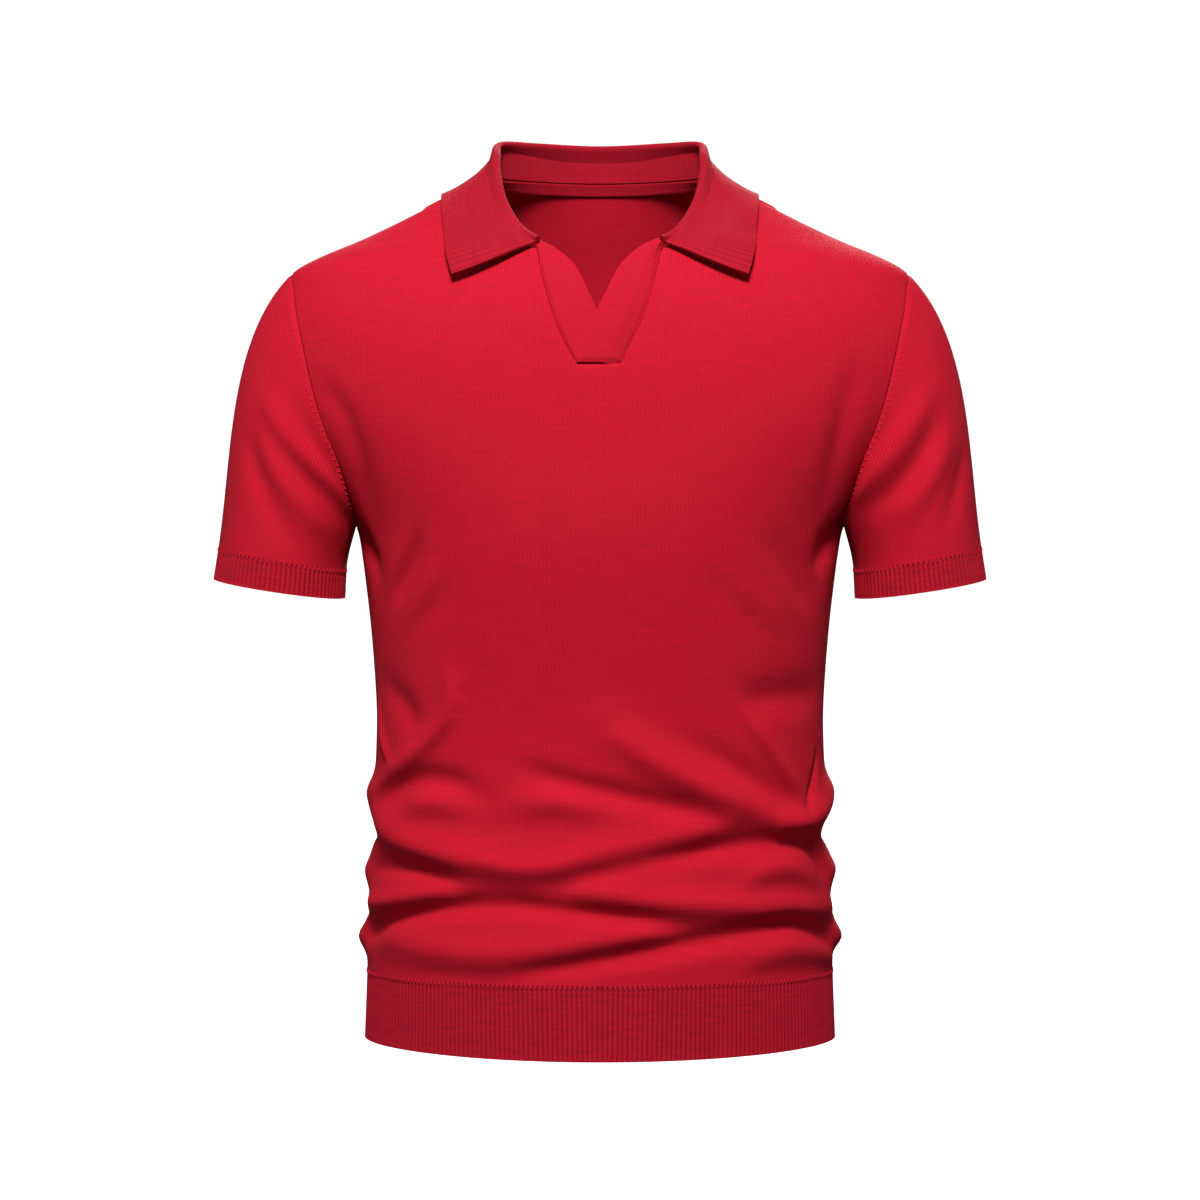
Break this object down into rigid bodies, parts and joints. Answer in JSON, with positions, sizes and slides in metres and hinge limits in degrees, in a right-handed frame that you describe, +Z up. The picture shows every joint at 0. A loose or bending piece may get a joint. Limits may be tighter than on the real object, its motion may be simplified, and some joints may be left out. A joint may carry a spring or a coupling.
{
  "type": "polo shirt",
  "caption": "short-sleeved knitted polo shirt with an open notched collar, ribbed cuffs and hem, filled out as worn",
  "frame": {"origin": "the middle of the base of the neck, between the shoulders, inside the collar", "axes": "+X to the wearer's left, -Y to the front, +Z up along the body"},
  "size_m": [0.5712, 0.2248, 0.6726],
  "materials": {
    "knit": "matte fine-gauge plain knit with fine upright wales, bright red",
    "rib": "matte rib knit of the same red yarn, slightly deeper in the furrows",
    "tape": "matte woven tape, a slightly darker red"
  },
  "bodies": {
    "root": {"front": "knit", "back": "knit", "sleeve_left": "knit", "sleeve_right": "knit", "placket_under": "knit", "placket_over": "knit", "cuff_left": "rib", "cuff_right": "rib", "hem_front": "rib", "hem_back": "rib", "collar": "rib", "neck_tape": "tape"}
  },
  "joints": []
}
